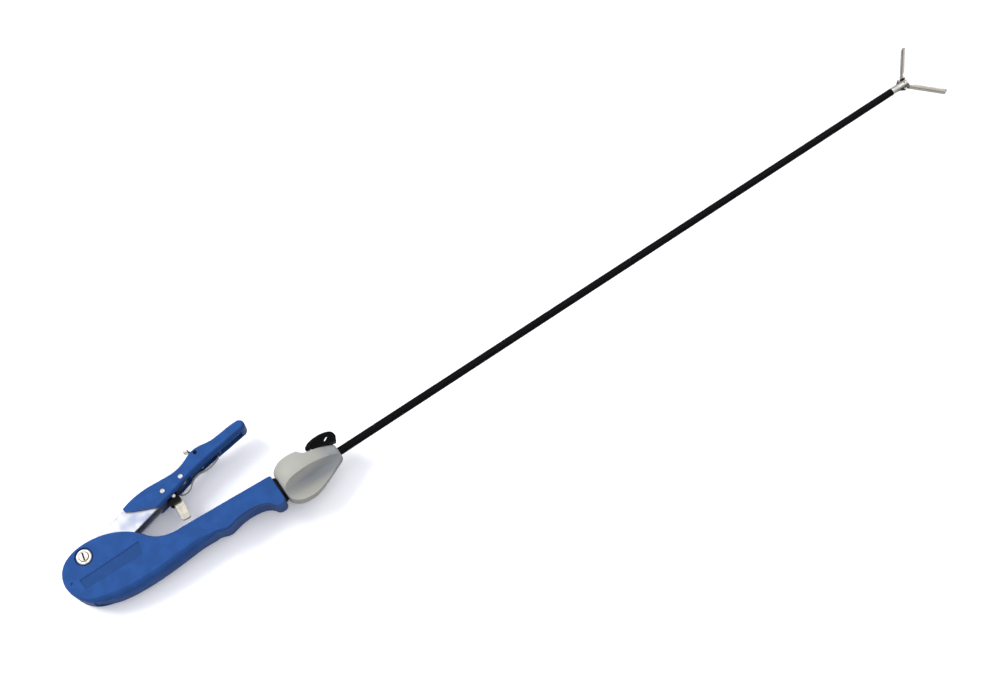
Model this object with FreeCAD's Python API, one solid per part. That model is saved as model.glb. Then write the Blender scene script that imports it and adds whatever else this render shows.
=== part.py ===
"""Laparoscopic grasper: ergonomic squeeze handle, rotation knob, 5 mm shaft and scissor jaws.

Frame: millimetres. The shaft's axis is X, towards the jaws, and X = 0 is the knob's front face.
+Y is the squeeze lever's side and +Z is the side of the handle that faces up in the photograph.
At rest the lever is raised and the jaws are open.
"""
import FreeCAD, Part

import math
import os

V = FreeCAD.Vector
X_AXIS = V(1, 0, 0)
Y_AXIS = V(0, 1, 0)
Z_AXIS = V(0, 0, 1)

# Shaft and jaws
SHAFT_R = 2.5
SLEEVE_WALL = 0.35
TUBE_WALL = 0.4
TUBE_R = SHAFT_R - SLEEVE_WALL
TUBE_BORE_R = TUBE_R - TUBE_WALL
ROD_R = 0.9
JAW_X = 453.5
JAW_LENGTH = 29.8
JAW_OPEN = 45.0
JAW_R = 2.4
GRIP_GAP = 0.05
BEAK_R = 3.5
TAIL_R = 3.6
TAIL_CLOSED = 23.5
LINK_LENGTH = 6.5
PLATE_Z = (0.03, 0.53)
LINK_Z = (0.58, 0.93)
SLOT_HALF = 1.0
SLOT_LENGTH = 8.0
RIVET_R = 0.42
OPEN_PIVOT_GAP = 0.2
# The links follow the lever at a constant ratio, so they start half their mid-stroke error out
YOKE_BIAS = 0.105
LINK_BIAS = 0.7
CLEVIS_R = SHAFT_R - 0.08
CLEVIS_NOSE = 2.9
CLEVIS_BACK = 10.2
TIP_RING = 0.9

# Handle
HALF_Z = 8.0
EDGE_R = 2.0
BELLY_EDGE_R = 6.2
SCOOP_EDGE_R = 3.0
LIP_EDGE_R = 1.2
CREASE = 0.4
PIVOT = (-150.5, 27.3)
PIVOT_R = 2.5
RUN = 0.03
SWING = 13.0
BODY_END = -41.6
COLLAR_R = 8.0
HUB_R = 4.5
BUSH_R = 5.4
COLLAR_SPIGOT_R = 6.3
CHEEK_Z = (3.4, 4.9)
ARM_GAP = 0.3
DRIVE_PIN_R = 1.5
DRIVE_LINK = 24.0
COUPLER_R = 3.1
BALL_R = 2.0
BALL_X = -118.0

# Lever
LEVER_HALF_Z = 7.0
LEVER_WALL = 1.9
LEVER_BACK_R = 1.8
LEVER_TIP_R = 3.0
LEVER_UNDER_R = 3.6
PAD_BACK = -78.5
PAD_SLOT_Z = 3.9
RIVETS = ((-96.3, 35.9), (-83.6, 37.6))
RIVET_BODY_R = 1.3
RACK_TIP_R = 55.2
RACK_DEPTH = 5.6
RACK_BACK_R = RACK_TIP_R + RACK_DEPTH
RACK_HINGE_ANGLE = 3.06
RACK_TEETH = 15
RACK_PITCH = 0.77
RACK_HALF_Z = 1.2
PAWL_GAP = 0.15
PAWL_ANGLE = -19.5
PAWL_DEPTH = 5.05
TRIGGER_PIVOT = (-69.6, 45.2)
TRIGGER_PIN_R = 1.25

# Knob and flush port
KNOB_BACK = -39.6
KNOB_NOSE = -1.0
PORT_ANGLE = 80.0
PORT_X = -7.0
PORT_BORE_R = 2.0
PORT_R = 2.9
PORT_TOP = 9.6
FLUTE_ANGLES = (-40.5, -154.0)
FLUTE_R = 12.2
FLUTE_FLOOR = 5.4
FLUTE_SLOPE = 6.4


# The rod's travel follows from the jaws' linkage, and the lever's short arm from that travel
def yoke_distance(jaw_angle):
    a = math.radians(TAIL_CLOSED + jaw_angle)
    side = TAIL_R * math.sin(a)
    return TAIL_R * math.cos(a) + math.sqrt(LINK_LENGTH ** 2 - side ** 2)


YOKE_OPEN = yoke_distance(JAW_OPEN)
ROD_TRAVEL = yoke_distance(0.0) - YOKE_OPEN
HALF_SWING = math.radians(SWING / 2)
DRIVE_ARM = ROD_TRAVEL / (2 * math.sin(HALF_SWING))
DRIVE_PIN = (PIVOT[0] + DRIVE_ARM * math.sin(HALF_SWING), PIVOT[1] - DRIVE_ARM * math.cos(HALF_SWING))
COUPLER_X = DRIVE_PIN[0] + math.sqrt(DRIVE_LINK ** 2 - DRIVE_PIN[1] ** 2)
COUPLER_FRONT = -112.0
YOKE_X = JAW_X - YOKE_OPEN - YOKE_BIAS


# Small helpers
def cyl(r, length, at, direction=X_AXIS):
    return Part.makeCylinder(r, length, V(*at), direction)


def ring(r_out, r_in, length, at, direction=X_AXIS):
    return cyl(r_out, length, at, direction).cut(cyl(r_in, length, at, direction))


def pin_z(r, xy, z0, z1):
    return cyl(r, z1 - z0, (xy[0], xy[1], z0), Z_AXIS)


def block(x0, x1, y0, y1, z0, z1):
    return Part.makeBox(x1 - x0, y1 - y0, z1 - z0, V(x0, y0, z0))


def poly_wire(points):
    pts = [V(p[0], p[1], 0) for p in points]
    return Part.makePolygon(pts + [pts[0]])


def prism(wire, z0, z1):
    face = Part.Face(wire)
    face.translate(V(0, 0, z0))
    return face.extrude(V(0, 0, z1 - z0))


def slab(points, z0, z1):
    return prism(poly_wire(points), z0, z1)


def spline(points):
    curve = Part.BSplineCurve()
    curve.interpolate([V(p[0], p[1], 0) for p in points])
    return curve.toShape()


def line(a, b):
    return Part.LineSegment(V(a[0], a[1], 0), V(b[0], b[1], 0)).toShape()


def arc(a, mid, b):
    return Part.Arc(V(a[0], a[1], 0), V(mid[0], mid[1], 0), V(b[0], b[1], 0)).toShape()


def closed(edges):
    return Part.Wire(Part.__sortEdges__(edges))


def bar(a, b, r, z0, z1):
    """A flat link with round ends of radius r about a and b."""
    dx, dy = b[0] - a[0], b[1] - a[1]
    n = math.hypot(dx, dy)
    nx, ny = -dy / n * r, dx / n * r
    body = slab([(a[0] + nx, a[1] + ny), (b[0] + nx, b[1] + ny),
                 (b[0] - nx, b[1] - ny), (a[0] - nx, a[1] - ny)], z0, z1)
    return body.fuse([pin_z(r, a, z0, z1), pin_z(r, b, z0, z1)]).removeSplitter()


def polar(angle, r):
    a = math.radians(angle)
    return (PIVOT[0] + r * math.cos(a), PIVOT[1] + r * math.sin(a))


def sector(r0, r1, a0, a1, z0, z1):
    """A curved bar about the lever's pivot, between two radii and two angles."""
    mid = (a0 + a1) / 2
    return prism(closed([arc(polar(a0, r0), polar(mid, r0), polar(a1, r0)),
                         line(polar(a1, r0), polar(a1, r1)),
                         arc(polar(a1, r1), polar(mid, r1), polar(a0, r1)),
                         line(polar(a0, r1), polar(a0, r0))]), z0, z1)


def revolved(profile):
    """Turns a closed (x, radius) outline about the shaft's axis."""
    wire = Part.makePolygon([V(p[0], p[1], 0) for p in profile] + [V(profile[0][0], profile[0][1], 0)])
    return Part.Face(wire).revolve(V(0, 0, 0), X_AXIS, 360)


def about_x(shape, angle):
    """Turns a shape built towards +Y so that it points at an angle from +Z towards +Y."""
    out = shape.copy()
    out.rotate(V(0, 0, 0), X_AXIS, 90 - angle)
    return out


def edges_at(shape, test):
    return [e for e in shape.Edges if test(e)]


# Handle housing
BELLY = [(-99, 11.4), (-108, 12.8), (-113.5, 15.8), (-118.5, 21.5), (-125.4, 27.6), (-134, 32),
         (-146, 34.3), (-155.8, 33.1), (-162.9, 29.0), (-166.8, 21.2), (-165.9, 12.1), (-159.4, 2.7),
         (-148, -2.8), (-131, -5.2), (-113, -5.0), (-97, -3.8), (-86, -3.2)]
SCOOP = [(-86, -3.2), (-81.5, -3.6), (-77.5, -4.8), (-73.5, -4.2), (-69, -3.1), (-61, -2.7),
         (-55, -3.6), (-51.2, -5.3), (-48.9, -8.0)]
LIP = -10.0


def spline_pieces(points, splits):
    """One smooth curve through the points, cut into edges at some of them."""
    curve = Part.BSplineCurve()
    curve.interpolate([V(p[0], p[1], 0) for p in points])
    marks = [curve.parameter(V(points[i][0], points[i][1], 0)) for i in [0] + splits + [len(points) - 1]]
    return [curve.toShape(marks[i], marks[i + 1]) for i in range(len(marks) - 1)]


def housing_outline():
    lip_r = BODY_END + 44.4
    lip_mid = (BODY_END - 0.29289 * lip_r, LIP + 0.29289 * lip_r)
    edges = [arc((BODY_END, 7.1), (BODY_END - 0.35, 7.95), (BODY_END - 1.2, 8.3))]
    edges += [line((BODY_END - 1.2, 8.3), BELLY[0])] + spline_pieces(BELLY, [10, 12, 15]) + [spline(SCOOP)]
    edges += [arc(SCOOP[-1], (-47.6, LIP + 0.6), (-46, LIP)), line((-46, LIP), (-44.4, LIP))]
    edges += [arc((-44.4, LIP), lip_mid, (BODY_END, LIP + lip_r)), line((BODY_END, LIP + lip_r), (BODY_END, 7.1))]
    return closed(edges)


def edge_radii(shape, rim_z):
    """The rim's rounding swells along the belly and falls off again towards the finger scoop."""
    radii = []
    for i, e in enumerate(shape.Edges):
        if abs(abs(e.CenterOfMass.z) - rim_z) > 0.01:
            continue
        first = e.valueAt(e.FirstParameter).x
        last = e.valueAt(e.LastParameter).x
        low = e.CenterOfMass.y < 4
        ends = []
        for x in (first, last):
            r = EDGE_R
            if low and -149 < x < -96:
                r = BELLY_EDGE_R
            if low and -87 < x < -85:
                r = SCOOP_EDGE_R
            if x > BODY_END - 2 or (low and x > -50):
                r = LIP_EDGE_R
            ends.append(r)
        radii.append((i + 1, ends[0], ends[1]))
    return radii


def rounded(shape, radii):
    doc = FreeCAD.newDocument()
    base = doc.addObject("Part::Feature", "base")
    base.Shape = shape
    rim = doc.addObject("Part::Fillet", "rim")
    rim.Base = base
    rim.Edges = radii
    doc.recompute()
    result = rim.Shape.copy()
    FreeCAD.closeDocument(doc.Name)
    return result


def housing_solid():
    """The rounding is cut off just below its top, which leaves the crease round both flat faces."""
    rim_z = HALF_Z + CREASE
    body = prism(housing_outline(), -rim_z, rim_z)
    body = rounded(body, edge_radii(body, rim_z))
    return body.common(block(-200, 0, -50, 60, -HALF_Z, HALF_Z))


def housing_cavity():
    arm_room = slab([(-160.5, 12), (-161.8, 20), (-159.6, 27), (-155, 31.7), (-146.2, 32.8),
                     (-146.2, 46), (-107.5, 46), (-107.5, 16), (-112, 12.2), (-122, 8.5),
                     (-129, 5.2), (-150, 5.2), (-157, 7.5)],
                    -CHEEK_Z[1] - ARM_GAP, CHEEK_Z[1] + ARM_GAP)
    link_room = slab([(-156, 14), (-156, 6), (-141, -0.2), (-125.5, -0.2), (-125.5, 8)], -2.2, 2.2)
    channel = cyl(COUPLER_R + 0.05, 35.0, (-141.5, 0, 0))
    rod_bore = cyl(ROD_R + 0.45, 62.0, (-108, 0, 0))
    ring_pocket = cyl(HUB_R + 0.3, 8, (-50.0, 0, 0)).fuse(cyl(COLLAR_SPIGOT_R, BODY_END + 47.2, (-47.2, 0, 0)))
    rack_slot = sector(RACK_TIP_R - 0.8, RACK_BACK_R + 3.0, -8.0, -26.0, -RACK_HALF_Z - 0.5, RACK_HALF_Z + 0.5)
    pawl_slot = slab(pawl_outline(0.1), -RACK_HALF_Z - 0.1, RACK_HALF_Z + 0.1)
    return arm_room.fuse([link_room, channel, rod_bore, ring_pocket, rack_slot, pawl_slot])


def pawl_outline(grow=0.0):
    tip = RACK_TIP_R - PAWL_GAP
    root = tip - PAWL_DEPTH - grow
    shoulder = tip - 1.65
    return [polar(PAWL_ANGLE - 1.9 - grow, root), polar(PAWL_ANGLE + 1.9 + grow, root),
            polar(PAWL_ANGLE + 1.9 + grow, shoulder), polar(PAWL_ANGLE + 0.5, tip + grow),
            polar(PAWL_ANGLE - 0.1, tip + grow), polar(PAWL_ANGLE - 1.9 - grow, shoulder)]


HOUSING_SCREWS = ((-158.0, 9.0), (-70.0, 3.6))
PAWL_PIN_AT = polar(PAWL_ANGLE, RACK_TIP_R - 3.6)


def housing_halves():
    """Both halves are split off first, and every opening is then cut from each."""
    tools = [housing_cavity(), pin_z(PIVOT_R, PIVOT, -HALF_Z, HALF_Z), pin_z(0.8, PAWL_PIN_AT, -6.0, 6.0)]
    # Recesses seen on the upper face: round one for the pivot's flange, and the bare label panel
    tools.append(pin_z(5.3, PIVOT, HALF_Z - 1.2, HALF_Z + 1))
    tools.append(slab([(-158.9, 16.9), (-121.3, 17.7), (-122.8, 9.6), (-158.2, 10.4)], HALF_Z - 0.35, HALF_Z + 1))
    tools.append(pin_z(0.8, (-163.0, 17.5), HALF_Z - 0.6, HALF_Z + 1))
    # Long thumb relief low on the lower wall near the butt
    relief = block(0, 12.5, -3.0, 1.0, -5.5, 5.0)
    relief.rotate(V(0, 0, 0), Z_AXIS, -27)
    relief.translate(V(-159.2, 2.2, 0))
    tools.append(relief)
    for xy in HOUSING_SCREWS:
        tools += [pin_z(1.1, xy, -HALF_Z, 5.0), pin_z(2.3, xy, -HALF_Z - 1, -HALF_Z + 1.9)]
    tools.append(pin_z(5.3, PIVOT, -HALF_Z - 1, -HALF_Z + 1.8))
    solid = housing_solid()
    halves = []
    for z0, z1 in ((0, 20), (-20, 0)):
        half = solid.common(block(-200, 0, -50, 60, z0, z1))
        for tool in tools:
            half = half.cut(tool)
        halves.append(half)
    return halves


def housing_screw(xy):
    shank = pin_z(1.1, xy, -HALF_Z + 1.9, 5.0)
    head = pin_z(2.3, xy, -HALF_Z + 0.2, -HALF_Z + 1.9)
    screw = shank.fuse(head).removeSplitter()
    slot = block(xy[0] - 2.4, xy[0] + 2.4, xy[1] - 0.3, xy[1] + 0.3, -HALF_Z, -HALF_Z + 0.8)
    return screw.cut(slot)


def pivot_bushing():
    body = pin_z(PIVOT_R, PIVOT, -HALF_Z + 1.8, HALF_Z - 1.2)
    flange = pin_z(4.4, PIVOT, HALF_Z - 1.2, HALF_Z + 0.3)
    rim = edges_at(flange, lambda e: abs(e.CenterOfMass.z - HALF_Z - 0.3) < 0.01 and e.BoundBox.ZLength < 0.01)
    flange = flange.makeChamfer(0.35, rim)
    dish = pin_z(3.1, PIVOT, HALF_Z - 0.3, HALF_Z + 1)
    return body.fuse(flange).removeSplitter().cut([pin_z(1.6, PIVOT, -HALF_Z, HALF_Z), dish])


def pivot_screw():
    shank = pin_z(1.6, PIVOT, -HALF_Z + 0.3, HALF_Z - 0.3)
    head = Part.makeCone(2.9, 2.4, 1.3, V(PIVOT[0], PIVOT[1], HALF_Z - 0.3))
    slot = block(-3.2, 3.2, -0.45, 0.45, HALF_Z + 0.3, HALF_Z + 2)
    slot.rotate(V(0, 0, 0), Z_AXIS, 78)
    slot.translate(V(PIVOT[0], PIVOT[1], 0))
    return shank.fuse(head).removeSplitter().cut(slot)


def pivot_nut():
    nut = pin_z(4.3, PIVOT, -HALF_Z + 0.2, -HALF_Z + 1.8)
    holes = [pin_z(0.6, (PIVOT[0] + s * 2.9, PIVOT[1]), -HALF_Z, -HALF_Z + 1.0) for s in (-1, 1)]
    return nut.cut([pin_z(1.6, PIVOT, -HALF_Z - 1, HALF_Z)] + holes)


def front_collar():
    return revolved([(BODY_END - 4.0, BUSH_R), (BODY_END - 4.0, COLLAR_SPIGOT_R), (BODY_END, COLLAR_SPIGOT_R),
                     (BODY_END, COLLAR_R), (KNOB_BACK - 1.0, COLLAR_R), (KNOB_BACK - 0.3, COLLAR_R - 0.7),
                     (KNOB_BACK - 0.3, BUSH_R)])


def bearing_bush():
    return ring(BUSH_R, HUB_R + RUN, KNOB_BACK - 0.3 - (BODY_END - 4.0), (BODY_END - 4.0, 0, 0))


def ratchet_pawl():
    pawl = slab(pawl_outline(), -RACK_HALF_Z, RACK_HALF_Z)
    return pawl.cut(pin_z(0.8, PAWL_PIN_AT, -3, 3))


# Squeeze lever
LEVER_BACK = [(-120, 39.6), (-113, 41.8), (-103, 42.9), (-92, 42.4), (-84.5, 42.6), (-78, 44.6),
              (-72, 47.4), (-67.5, 48.1), (-60, 47.2), (-53, 47.6), (-46, 48.6), (-41.0, 48.9)]
LEVER_UNDER = [(-39.2, 42.3), (-58, 39.2), (-75, 36.0), (-90, 31.6), (-102, 28.4)]


def lever_radii(shape, rim_z):
    """Softest round the tip and along the underside, where fingers pull; the notch stays sharp."""
    radii = []
    for i, e in enumerate(shape.Edges):
        at = e.CenterOfMass
        if abs(abs(at.z) - rim_z) > 0.01 or e.Length < 4 or (at.x < -104 and at.y < 38):
            continue
        ends = []
        for p in (e.valueAt(e.FirstParameter), e.valueAt(e.LastParameter)):
            r = LEVER_TIP_R
            if p.y < 30:
                r = LEVER_UNDER_R
            elif p.y < 41:
                r = LEVER_BACK_R
            ends.append(r)
        radii.append((i + 1, ends[0], ends[1]))
    return radii


def lever_shell():
    tip = arc(LEVER_BACK[-1], (-37.0, 46.3), LEVER_UNDER[0])
    notch = spline([LEVER_UNDER[-1], (-106, 30.6), (-113, 33.8), (-119.6, 37.4)])
    outline = closed([spline(LEVER_BACK), tip, spline(LEVER_UNDER), notch, line((-119.6, 37.4), LEVER_BACK[0])])
    rim_z = LEVER_HALF_Z + CREASE
    shell = prism(outline, -rim_z, rim_z)
    shell = rounded(shell, lever_radii(shell, rim_z))
    shell = shell.common(block(-200, 0, 0, 60, -LEVER_HALF_Z, LEVER_HALF_Z))
    # Room for the steel arm behind, and a narrower channel with ribs in the finger pad
    inner = LEVER_HALF_Z - LEVER_WALL
    roof = [(p[0], p[1] - 2.1) for p in LEVER_BACK[1:-1]]
    room = closed([line((-126, 39.1), roof[0]), spline(roof), line(roof[-1], (-41.2, 45.4)),
                   line((-41.2, 45.4), (-40.8, 36)), line((-40.8, 36), (-60, 30)),
                   line((-60, 30), (-100, 20)), line((-100, 20), (-126, 30)), line((-126, 30), (-126, 39.1))])
    room = prism(room, -inner, inner)
    pad = block(PAD_BACK, -30, 20, 60, -inner - 1, inner + 1).cut(block(-130, -30, 20, 60, -PAD_SLOT_Z, PAD_SLOT_Z))
    shell = shell.cut(room.cut(pad))
    rib = slab([(-80, 35.2), (-58, 39.8), (-41.0, 42.4), (-41.0, 46), (-53, 46.2), (-66, 46.2), (-80, 42.6)],
               0.6, 1.9)
    cross_mid = slab([(-58.2, 39.6), (-56.8, 39.9), (-56.8, 46), (-58.2, 46)], -inner, inner)
    cross_back = slab([(-79.2, 35.6), (-77.9, 36.0), (-77.9, 43), (-79.2, 43)], -inner, inner)
    ribs = rib.fuse([cross_mid, cross_back]).common(prism(outline, -inner, inner))
    shell = shell.fuse(ribs)
    trigger_slot = block(-77.2, -69.4, 36, 52, -2.8, -0.2).fuse(block(-77.2, -67.2, 36, 47.3, -2.8, -0.2))
    shell = shell.cut(trigger_slot)
    shell = shell.cut([pin_z(RIVET_BODY_R, xy, -9, 9) for xy in RIVETS])
    return shell.cut(pin_z(TRIGGER_PIN_R, TRIGGER_PIVOT, -9, 9)).removeSplitter()


def lever_arm():
    cheek = [(-146.5, 30.6), (-141, 34.0), (-121.2, 38.9), (-113, 39.3), (-100, 39.9), (-80, 39.9),
             (-79.6, 37.2), (-90, 33.4), (-103, 29.4), (-121, 24.6), (-134, 20.4), (-142, 15.2), (-147.5, 20)]
    cheeks = []
    for side in (-1, 1):
        z0, z1 = sorted((side * CHEEK_Z[0], side * CHEEK_Z[1]))
        plate = slab(cheek, z0, z1)
        plate = plate.fuse([pin_z(4.6, PIVOT, z0, z1), bar(PIVOT, DRIVE_PIN, 3.1, z0, z1)])
        cheeks.append(plate)
    web = slab([(-141, 34.0), (-121.2, 38.9), (-113, 39.3), (-100, 39.9), (-100, 38.5), (-113, 37.8),
                (-121.2, 37.4), (-140.6, 32.5)], -CHEEK_Z[1], CHEEK_Z[1])
    arm = cheeks[0].fuse([cheeks[1], web]).removeSplitter()
    bores = [pin_z(PIVOT_R + RUN, PIVOT, -9, 9), pin_z(DRIVE_PIN_R, DRIVE_PIN, -9, 9)]
    bores += [pin_z(RIVET_BODY_R, xy, -9, 9) for xy in RIVETS]
    bores.append(pin_z(1.0, RACK_HINGE, -9, 9))
    return arm.cut(bores)


def lever_rivet(xy):
    rivet = pin_z(RIVET_BODY_R, xy, -LEVER_HALF_Z, LEVER_HALF_Z)
    domes = []
    for side in (-1, 1):
        dome = Part.makeSphere(2.6, V(xy[0], xy[1], side * (LEVER_HALF_Z - 2.25)))
        z0, z1 = sorted((side * LEVER_HALF_Z, side * (LEVER_HALF_Z + 1)))
        domes.append(dome.common(pin_z(RIVET_BODY_R, xy, z0, z1)))
    return rivet.fuse(domes).removeSplitter()


def trigger_pin():
    return pin_z(TRIGGER_PIN_R, TRIGGER_PIVOT, -LEVER_HALF_Z, LEVER_HALF_Z)


RACK_HINGE = polar(RACK_HINGE_ANGLE, RACK_TIP_R + 2.88)


def near_hinge(points):
    return [(RACK_HINGE[0] + dx, RACK_HINGE[1] + dy) for dx, dy in points]


def ratchet_holder():
    body = slab(near_hinge([(-4.9, -2.8), (-3.7, -3.8), (1.9, -3.8), (2.5, -3.0), (2.5, 3.6), (-4.9, 2.8)]),
                -CHEEK_Z[0], CHEEK_Z[0])
    slot = slab(near_hinge([(-6, -12), (4, -12), (4, 2.6), (-6, 2.6)]), -RACK_HALF_Z - 0.1, RACK_HALF_Z + 0.1)
    return body.cut([slot, pin_z(1.0, RACK_HINGE, -9, 9)])


def rack_pin():
    return pin_z(1.0, RACK_HINGE, -CHEEK_Z[1], CHEEK_Z[1])


def ratchet_rack():
    root = RACK_TIP_R + 0.5
    start = 1.0
    end = start - RACK_TEETH * RACK_PITCH
    points = [polar(start + 2.0, root)]
    for i in range(RACK_TEETH):
        a = start - i * RACK_PITCH
        points.append(polar(a, root))
        points.append(polar(a - RACK_PITCH * 0.75, RACK_TIP_R))
    points.append(polar(end, root))
    edges = [line(points[i], points[i + 1]) for i in range(len(points) - 1)]
    low = polar(end - 0.6, root + 0.6)
    edges.append(line(points[-1], low))
    edges.append(line(low, polar(end - 0.6, RACK_BACK_R - 1.6)))
    edges.append(arc(polar(end - 0.6, RACK_BACK_R - 1.6), polar(end - 0.2, RACK_BACK_R - 0.45),
                     polar(end + 1.2, RACK_BACK_R)))
    edges.append(arc(polar(end + 1.2, RACK_BACK_R), polar((end + start + 3.2) / 2, RACK_BACK_R),
                     polar(start + 2.0, RACK_BACK_R)))
    edges.append(line(polar(start + 2.0, RACK_BACK_R), points[0]))
    tongue = prism(closed(edges), -RACK_HALF_Z, RACK_HALF_Z)
    hub = pin_z(2.0, RACK_HINGE, -RACK_HALF_Z, RACK_HALF_Z)
    rack = tongue.fuse(hub).removeSplitter()
    return rack.cut(pin_z(1.0 + RUN, RACK_HINGE, -9, 9))


def ratchet_spring():
    path = near_hinge([(2.6, 1.0), (6.0, -0.7), (9.5, 0.2)]) + [(-79.0, 34.0), (-74.5, 35.6), (-70.0, 35.2),
                                                                 (-66.0, 35.6), (-60.5, 37.6)]
    lower = spline(path)
    upper = spline([(p[0] - 0.12, p[1] + 0.42) for p in path])
    leaf = prism(closed([lower, upper, line(path[0], (path[0][0] - 0.12, path[0][1] + 0.42)),
                         line(path[-1], (path[-1][0] - 0.12, path[-1][1] + 0.42))]), -3.1, -0.5)
    leg = slab([(-60.9, 37.4), (-60.3, 37.4), (-58.3, 40.6), (-58.7, 41.0)], -3.1, -0.5)
    return leaf.fuse(leg).removeSplitter()


def release_trigger():
    foot = bar(TRIGGER_PIVOT, (-70.6, 38.6), 1.0, -2.4, -0.6)
    stem = bar(TRIGGER_PIVOT, (-73.0, 50.8), 0.8, -2.4, -0.6)
    hub = pin_z(1.95, TRIGGER_PIVOT, -2.4, -0.6)
    pad = slab([(-72.2, 51.2), (-75.0, 52.3), (-75.3, 51.6), (-73.1, 50.2)], -3.8, 0.8)
    trigger = hub.fuse([foot, stem, pad]).removeSplitter()
    return trigger.cut(pin_z(TRIGGER_PIN_R + RUN, TRIGGER_PIVOT, -9, 9))


# Drive from the lever to the rod
def drive_link():
    link = bar(DRIVE_PIN, (COUPLER_X, 0), 2.6, -1.5, 1.5)
    return link.cut([pin_z(DRIVE_PIN_R + RUN, DRIVE_PIN, -9, 9),
                     pin_z(DRIVE_PIN_R + OPEN_PIVOT_GAP, (COUPLER_X, 0), -9, 9)])


def rod_coupler():
    rear = COUPLER_X - 3.4
    body = cyl(COUPLER_R, COUPLER_FRONT - rear, (rear, 0, 0))
    ends = edges_at(body, lambda e: e.BoundBox.XLength < 0.01)
    body = body.makeChamfer(0.4, ends)
    fork = block(rear - 1, COUPLER_X + 3.4, -5, 5, -1.6, 1.6)
    seat = Part.makeSphere(BALL_R + 0.08, V(BALL_X, 0, 0)).fuse(cyl(BALL_R + 0.08, 5, (BALL_X, 0, 0), Y_AXIS))
    neck = cyl(ROD_R + 0.1, 12, (BALL_X, 0, 0)).fuse(block(BALL_X, COUPLER_FRONT + 1, 0, 5, -ROD_R - 0.1, ROD_R + 0.1))
    pin_bore = pin_z(DRIVE_PIN_R, (COUPLER_X, 0), -5, 5)
    return body.cut([fork, seat, neck, pin_bore])


def coupler_pin():
    return pin_z(DRIVE_PIN_R, (COUPLER_X, 0), -2.7, 2.7)


def drive_pin():
    return pin_z(DRIVE_PIN_R, DRIVE_PIN, -CHEEK_Z[1], CHEEK_Z[1])


# Rotation knob
def knob():
    edge = [(KNOB_BACK, 8.8), (-38.9, 10.4), (-37.0, 12.2), (-33.2, 14.1), (-28.5, 14.7), (-24.0, 14.4),
            (-19.0, 13.0), (-13.0, 10.6), (-6.5, 7.8), (KNOB_NOSE - 1.2, 5.9)]
    nose = (KNOB_NOSE, 4.7)
    outline = closed([line((KNOB_BACK, 0), edge[0]), spline(edge), line(edge[-1], nose), line(nose, (KNOB_NOSE, 0)),
                      line((KNOB_NOSE, 0), (KNOB_BACK, 0))])
    body = Part.Face(outline).revolve(V(0, 0, 0), X_AXIS, 360)
    for angle in FLUTE_ANGLES:
        tool = cyl(FLUTE_R, 90, (-60, FLUTE_FLOOR + FLUTE_R, 0))
        tool.rotate(V(0, FLUTE_FLOOR + FLUTE_R, 0), Z_AXIS, -FLUTE_SLOPE)
        body = body.cut(about_x(tool, angle))
    seat = closed([arc((-21.8, 15.6), (-20.9, 11.6), (-17.8, 9.2)), line((-17.8, 9.2), (-13.2, 8.7)),
                   line((-13.2, 8.7), (2, 5.35)), line((2, 5.35), (2, 20)), line((2, 20), (-21.8, 20)),
                   line((-21.8, 20), (-21.8, 15.6))])
    body = body.cut(about_x(prism(seat, -14, 14), PORT_ANGLE))
    port_well = cyl(PORT_R, 12, (PORT_X, 3.0, 0), Y_AXIS)
    body = body.cut(about_x(port_well, PORT_ANGLE))
    return body.cut([cyl(HUB_R, 17.6, (KNOB_BACK, 0, 0)), cyl(TUBE_R, 40, (KNOB_BACK, 0, 0))])


def knob_hub():
    hub = cyl(HUB_R, 27.5, (-49.5, 0, 0))
    groove = ring(6, 3.7, 0.9, (-46.6, 0, 0))
    return hub.cut([groove, cyl(TUBE_R, 30, (-50, 0, 0))])


def retaining_ring():
    full = ring(5.9, 3.7, 0.8, (-46.55, 0, 0))
    return full.cut(block(-48, -44, -8, 0, -1.6, 1.6))


def flush_port():
    stem = cyl(PORT_R, PORT_TOP - 3.0, (PORT_X, 3.0, 0), Y_AXIS)
    lip = edges_at(stem, lambda e: abs(e.CenterOfMass.y - PORT_TOP) < 0.01 and e.BoundBox.YLength < 0.01)
    stem = stem.makeChamfer(0.25, lip)
    bore = cyl(PORT_BORE_R, 12, (PORT_X, 3.6, 0), Y_AXIS)
    return about_x(stem.cut(bore), PORT_ANGLE)


def port_cap():
    top = spline([(-16.0, 12.6), (-12.6, 14.0), (-8.6, 14.5), (-3.4, 14.1), (0.4, 12.9)])
    floor_line = [(-14.3, 9.05), (1.0, 5.7)]
    outline = closed([top, arc((0.4, 12.9), (2.2, 11.2), (2.6, 8.8)), line((2.6, 8.8), floor_line[1]),
                      line(floor_line[1], floor_line[0]), line(floor_line[0], (-11.6, 9.3)),
                      arc((-11.6, 9.3), (-12.4, 10.4), (-14.0, 10.6)), arc((-14.0, 10.6), (-16.4, 11.3), (-16.0, 12.6))])
    side = prism(outline, -4.6, 4.6)
    plan = Part.makeCylinder(4.6, 12, V(-1.4, 4, 0), Y_AXIS)
    plan = plan.fuse([block(-12.2, -1.4, 4, 16, -4.6, 4.6), Part.makeCylinder(4.6, 12, V(-12.2, 4, 0), Y_AXIS)])
    cap = side.common(plan.removeSplitter())
    upper = edges_at(cap, lambda e: abs(e.CenterOfMass.z) > 2.5 and e.CenterOfMass.y > 12.3)
    cap = cap.makeFillet(0.5, upper)
    pocket = cyl(PORT_R + 0.06, PORT_TOP + 0.1, (PORT_X, 0, 0), Y_AXIS)
    plug = cyl(PORT_BORE_R - 0.05, PORT_TOP - 4.0, (PORT_X, 4.4, 0), Y_AXIS)
    cap = cap.cut(pocket).fuse(plug)
    eye = bar((-4.7, 9.4), (-2.9, 10.3), 0.35, 3.9, 6)
    return about_x(cap.cut(eye).removeSplitter(), PORT_ANGLE)


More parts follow.
